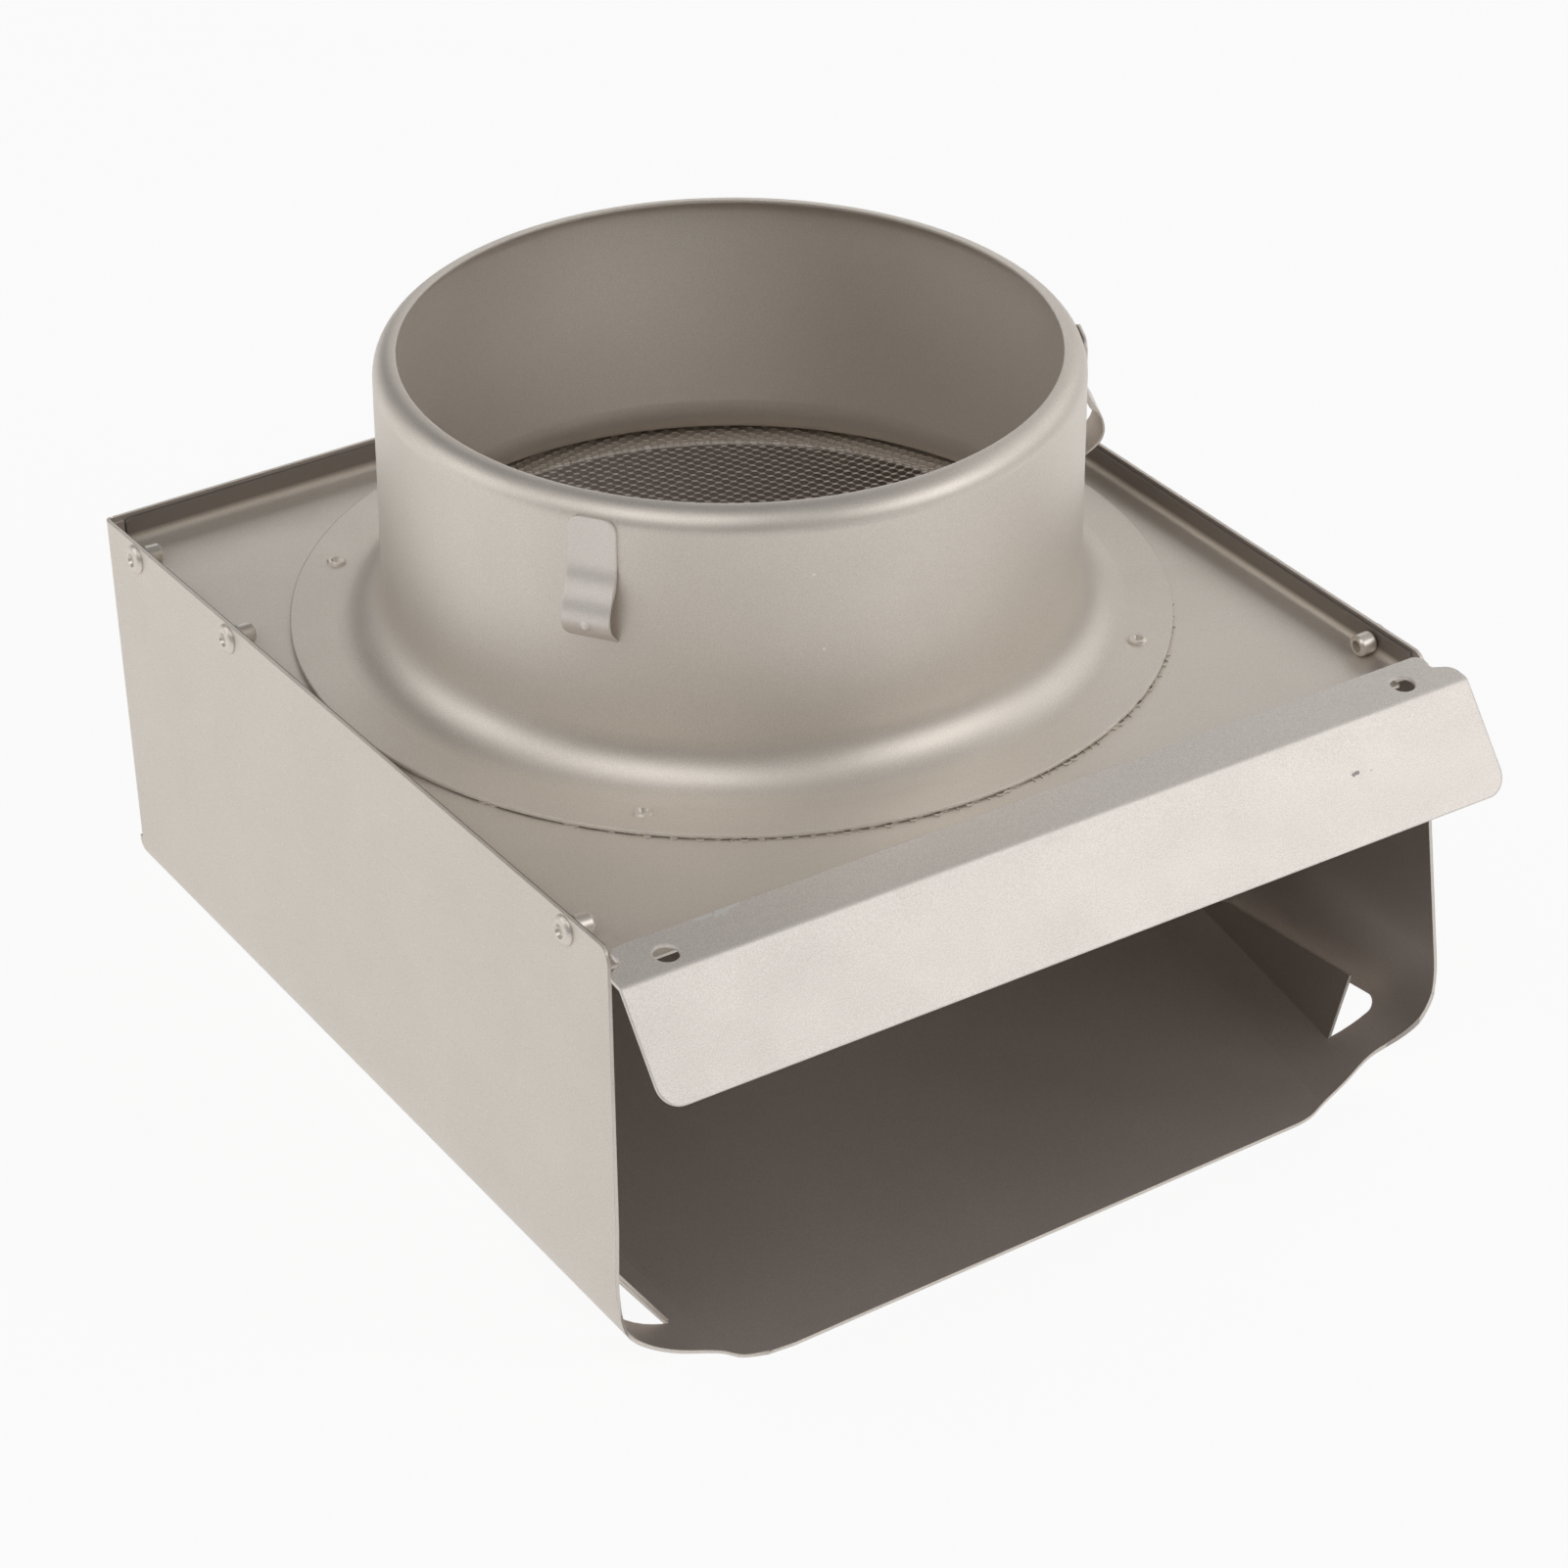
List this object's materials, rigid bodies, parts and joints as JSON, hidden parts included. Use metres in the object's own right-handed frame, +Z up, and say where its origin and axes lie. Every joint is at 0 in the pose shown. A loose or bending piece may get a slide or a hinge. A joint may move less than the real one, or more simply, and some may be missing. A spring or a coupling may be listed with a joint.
{
  "type": "wall vent cap",
  "caption": "Folded sheet-metal wall vent cap: a hood with an open end and drip strip, and a round sprung duct spigot with an insect screen.",
  "frame": {"origin": "middle of the cap's footprint, on the plane of its front panel, which it lies on", "axes": "+Z up from the front panel, -Y towards the hood's open end, +X to the right seen from the open end; the duct axis leans 6.6 degrees from +Z towards +Y, square to the back plate"},
  "size_m": [0.2072, 0.2306, 0.1533],
  "materials": {
    "painted_sheet": "metallic satin paint",
    "screen_mesh": "metallic satin paint",
    "spring": "metallic satin paint",
    "rivet": "metallic satin paint"
  },
  "bodies": {
    "root": {"hood_shell": "painted_sheet", "back_plate": "painted_sheet", "drip_strip": "painted_sheet", "spigot": "painted_sheet", "screen": "screen_mesh", "spring_clip_1": "spring", "spring_clip_2": "spring", "spring_clip_3": "spring", "rivet_left_1": "rivet", "rivet_left_2": "rivet", "rivet_left_3": "rivet", "rivet_right_1": "rivet", "rivet_right_2": "rivet", "rivet_right_3": "rivet", "flange_rivet_1": "rivet", "flange_rivet_2": "rivet", "flange_rivet_3": "rivet", "flange_rivet_4": "rivet"}
  },
  "joints": []
}
